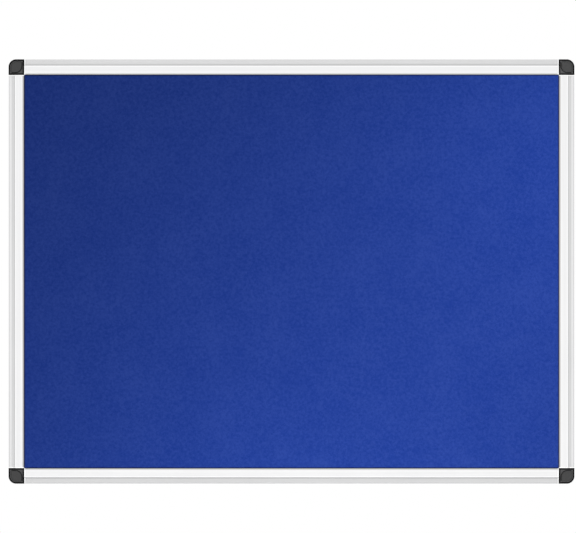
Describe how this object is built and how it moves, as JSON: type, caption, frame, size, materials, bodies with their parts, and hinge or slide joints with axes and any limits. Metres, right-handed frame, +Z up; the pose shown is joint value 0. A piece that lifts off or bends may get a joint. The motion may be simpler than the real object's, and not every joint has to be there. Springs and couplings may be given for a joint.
{
  "type": "double-sided felt notice board",
  "caption": "Reversible notice board: blue felt one side, grey felt the other, in an aluminium frame whose plastic corners have pull-off covers over the wall-screw holes.",
  "frame": {"origin": "the middle of the board, half way through its depth", "axes": "+X along the long side, to the right seen from the blue side; +Y out of the grey side, so the blue side faces -Y; +Z up as hung landscape"},
  "size_m": [0.6, 0.0156, 0.45],
  "materials": {
    "aluminium": "satin anodised, drawn along the rail",
    "moulding_plastic": "black, satin",
    "cover_plastic": "dark grey, fine grained",
    "fibreboard": "raw soft fibreboard",
    "blue_felt": "needled felt, short nap",
    "grey_felt": "needled felt, mottled, short nap"
  },
  "bodies": {
    "board": {"top_rail": "aluminium", "right_rail": "aluminium", "bottom_rail": "aluminium", "left_rail": "aluminium", "corner_moulding_top_left": "moulding_plastic", "corner_moulding_top_right": "moulding_plastic", "corner_moulding_bottom_right": "moulding_plastic", "corner_moulding_bottom_left": "moulding_plastic", "core_board": "fibreboard", "blue_felt": "blue_felt", "grey_felt": "grey_felt"},
    "front_cover_top_left": {"front_cover_top_left": "cover_plastic"},
    "front_cover_top_right": {"front_cover_top_right": "cover_plastic"},
    "front_cover_bottom_right": {"front_cover_bottom_right": "cover_plastic"},
    "front_cover_bottom_left": {"front_cover_bottom_left": "cover_plastic"},
    "back_cover_top_left": {"back_cover_top_left": "cover_plastic"},
    "back_cover_top_right": {"back_cover_top_right": "cover_plastic"},
    "back_cover_bottom_right": {"back_cover_bottom_right": "cover_plastic"},
    "back_cover_bottom_left": {"back_cover_bottom_left": "cover_plastic"}
  },
  "joints": [
    {"name": "front_cover_top_left_pull", "type": "slide", "parent": "board", "child": "front_cover_top_left", "axis": [0, -1, 0], "range_m": [0, 0.012]},
    {"name": "front_cover_top_right_pull", "type": "slide", "parent": "board", "child": "front_cover_top_right", "axis": [0, -1, 0], "range_m": [0, 0.012]},
    {"name": "front_cover_bottom_right_pull", "type": "slide", "parent": "board", "child": "front_cover_bottom_right", "axis": [0, -1, 0], "range_m": [0, 0.012]},
    {"name": "front_cover_bottom_left_pull", "type": "slide", "parent": "board", "child": "front_cover_bottom_left", "axis": [0, -1, 0], "range_m": [0, 0.012]},
    {"name": "back_cover_top_left_pull", "type": "slide", "parent": "board", "child": "back_cover_top_left", "axis": [0, 1, 0], "range_m": [0, 0.012]},
    {"name": "back_cover_top_right_pull", "type": "slide", "parent": "board", "child": "back_cover_top_right", "axis": [0, 1, 0], "range_m": [0, 0.012]},
    {"name": "back_cover_bottom_right_pull", "type": "slide", "parent": "board", "child": "back_cover_bottom_right", "axis": [0, 1, 0], "range_m": [0, 0.012]},
    {"name": "back_cover_bottom_left_pull", "type": "slide", "parent": "board", "child": "back_cover_bottom_left", "axis": [0, 1, 0], "range_m": [0, 0.012]}
  ]
}
